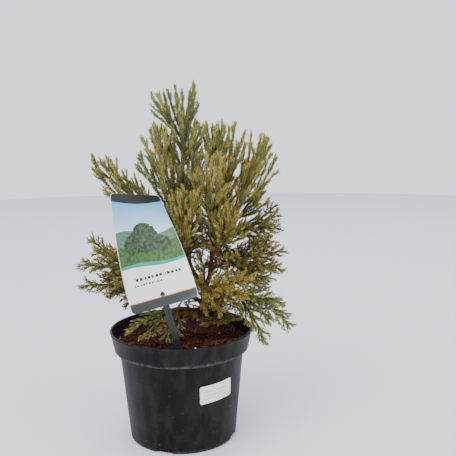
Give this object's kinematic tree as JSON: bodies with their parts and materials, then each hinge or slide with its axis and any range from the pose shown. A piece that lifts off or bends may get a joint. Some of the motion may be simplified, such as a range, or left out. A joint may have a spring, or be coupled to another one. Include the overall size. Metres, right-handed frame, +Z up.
{
  "type": "potted giant sequoia",
  "caption": "Young evergreen conifer with two stems, upright plumes and low sprays of scale-like needles, in a round black nursery pot with a plant label.",
  "frame": {"origin": "centre of the pot's flat underside, on the surface it stands on", "axes": "+Z up, -Y towards the side the label faces, +X to the right seen from there"},
  "size_m": [0.2848, 0.2611, 0.4725],
  "materials": {
    "pot": "black moulded nursery pot, semi-matt, with pale dust on the collar's lower edge",
    "soil": "dark red-brown peat with bark chips, dead needles and a few white grains",
    "label": "printed plastic plant label, satin, with a plain landscape and no words",
    "paper": "white paper price label, bare, matt",
    "bark": "dark red-brown fibrous bark with fine furrows",
    "bough": "brown young bark with scale-leaf scars",
    "foliage": "olive green awl-shaped needles with bronze tips"
  },
  "bodies": {
    "root": {"back_centre_bough": "bough", "back_centre_foliage": "foliage", "back_left_bough": "bough", "back_left_foliage": "foliage", "back_low_left_bough": "bough", "back_low_left_foliage": "foliage", "back_low_middle_bough": "bough", "back_low_middle_foliage": "foliage", "back_low_right_bough": "bough", "back_low_right_foliage": "foliage", "back_middle_bough": "bough", "back_middle_foliage": "foliage", "back_right_bough": "bough", "back_right_foliage": "foliage", "droop_right_bough": "bough", "droop_right_foliage": "foliage", "far_left_bough": "bough", "far_left_foliage": "foliage", "front_centre_bough": "bough", "front_centre_foliage": "foliage", "front_upper_bough": "bough", "front_upper_foliage": "foliage", "leader_back_foliage": "foliage", "leader_front_foliage": "foliage", "leader_top_foliage": "foliage", "low_left_lower_bough": "bough", "low_left_lower_foliage": "foliage", "low_left_upper_bough": "bough", "low_left_upper_foliage": "foliage", "low_right_front_bough": "bough", "low_right_front_foliage": "foliage", "mid_left_bough": "bough", "mid_left_foliage": "foliage", "plant_label": "label", "pot": "pot", "pot_front_left_bough": "bough", "pot_front_left_foliage": "foliage", "pot_front_right_bough": "bough", "pot_front_right_foliage": "foliage", "price_label": "paper", "right_far_bough": "bough", "right_far_foliage": "foliage", "right_front_bough": "bough", "right_front_foliage": "foliage", "right_low_bough": "bough", "right_low_foliage": "foliage", "right_outer_bough": "bough", "right_outer_foliage": "foliage", "right_side_bough": "bough", "right_side_foliage": "foliage", "right_upper_bough": "bough", "right_upper_foliage": "foliage", "second_stem": "bark", "soil": "soil", "trunk": "bark", "upper_left_bough": "bough", "upper_left_foliage": "foliage", "upper_right_foliage": "foliage"}
  },
  "joints": []
}
